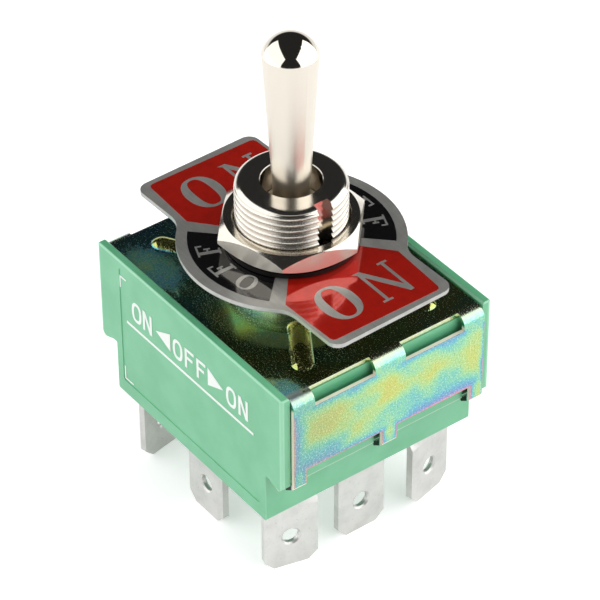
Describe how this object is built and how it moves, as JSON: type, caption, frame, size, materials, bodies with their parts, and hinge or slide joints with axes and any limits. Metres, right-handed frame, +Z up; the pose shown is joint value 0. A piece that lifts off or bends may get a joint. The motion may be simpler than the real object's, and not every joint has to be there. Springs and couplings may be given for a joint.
{
  "type": "panel toggle switch",
  "caption": "Panel toggle switch with a round bat lever, threaded bushing, printed ON-OFF-ON legend plate, plated bracket, green housing and push-on blade terminals",
  "frame": {"origin": "on the bushing's axis, in the plane of the bracket's top face", "axes": "X along the lever's throw towards the key slot, Y along the row of poles, Z up along the bushing and the lever"},
  "size_m": [0.0344, 0.0272, 0.0578],
  "materials": {
    "housing": "pale green moulded thermoset, semi-gloss",
    "bracket": "folded steel sheet with yellow iridescent zinc plating",
    "bushing": "nickel-plated, satin, threaded outside",
    "pin": "plain steel",
    "nut": "nickel-plated, bright",
    "legend": "aluminium sheet printed with red and black fields",
    "washer": "black oxide",
    "lever": "nickel-plated, turned, polished dome",
    "fibre": "vulcanised fibre sheet",
    "carrier": "ivory moulding",
    "spring": "spring wire",
    "plunger": "dark moulded pin",
    "rocker": "copper strip",
    "contacts": "silver",
    "terminal": "silver-plated sheet, satin"
  },
  "bodies": {
    "switch_body": {"housing": "housing", "bracket": "bracket", "bushing": "bushing", "pivot_pin": "pin", "lower_nut": "nut", "legend_plate": "legend", "lock_washer": "washer", "upper_nut": "nut", "insulating_plate": "fibre", "fixed_contacts_1": "contacts", "common_terminal_1": "terminal", "end_terminal_plus_1": "terminal", "end_terminal_minus_1": "terminal", "fixed_contacts_2": "contacts", "common_terminal_2": "terminal", "end_terminal_plus_2": "terminal", "end_terminal_minus_2": "terminal", "fixed_contacts_3": "contacts", "common_terminal_3": "terminal", "end_terminal_plus_3": "terminal", "end_terminal_minus_3": "terminal"},
    "lever": {"toggle_lever": "lever"},
    "carrier": {"carrier": "carrier", "plunger_1": "plunger", "plunger_spring_1": "spring", "plunger_2": "plunger", "plunger_spring_2": "spring", "plunger_3": "plunger", "plunger_spring_3": "spring"},
    "rocker_body_1": {"rocker_1": "rocker", "moving_contacts_1": "contacts"},
    "rocker_body_2": {"rocker_2": "rocker", "moving_contacts_2": "contacts"},
    "rocker_body_3": {"rocker_3": "rocker", "moving_contacts_3": "contacts"}
  },
  "joints": [
    {"name": "lever_tilt", "type": "hinge", "parent": "switch_body", "child": "lever", "pos_m": [0, 0, 0.0068], "axis": [0, 1, 0], "range_deg": [-11.5, 11.5]},
    {"name": "carrier_slide", "type": "slide", "parent": "switch_body", "child": "carrier", "axis": [1, 0, 0], "range_m": [-0.00196, 0.00196]},
    {"name": "rocker_tilt_1", "type": "hinge", "parent": "switch_body", "child": "rocker_body_1", "pos_m": [0, -0.0093, -0.0115], "axis": [0, 1, 0], "range_deg": [-7.01, 7.01]},
    {"name": "rocker_tilt_2", "type": "hinge", "parent": "switch_body", "child": "rocker_body_2", "pos_m": [0, 0, -0.0115], "axis": [0, 1, 0], "range_deg": [-7.01, 7.01]},
    {"name": "rocker_tilt_3", "type": "hinge", "parent": "switch_body", "child": "rocker_body_3", "pos_m": [0, 0.0093, -0.0115], "axis": [0, 1, 0], "range_deg": [-7.01, 7.01]}
  ],
  "couplings": [
    {"joint": "carrier_slide", "follows": "lever_tilt", "m_per_rad": -0.0097343},
    {"joint": "rocker_tilt_1", "follows": "lever_tilt", "ratio": -0.6087},
    {"joint": "rocker_tilt_2", "follows": "lever_tilt", "ratio": -0.6087},
    {"joint": "rocker_tilt_3", "follows": "lever_tilt", "ratio": -0.6087}
  ]
}
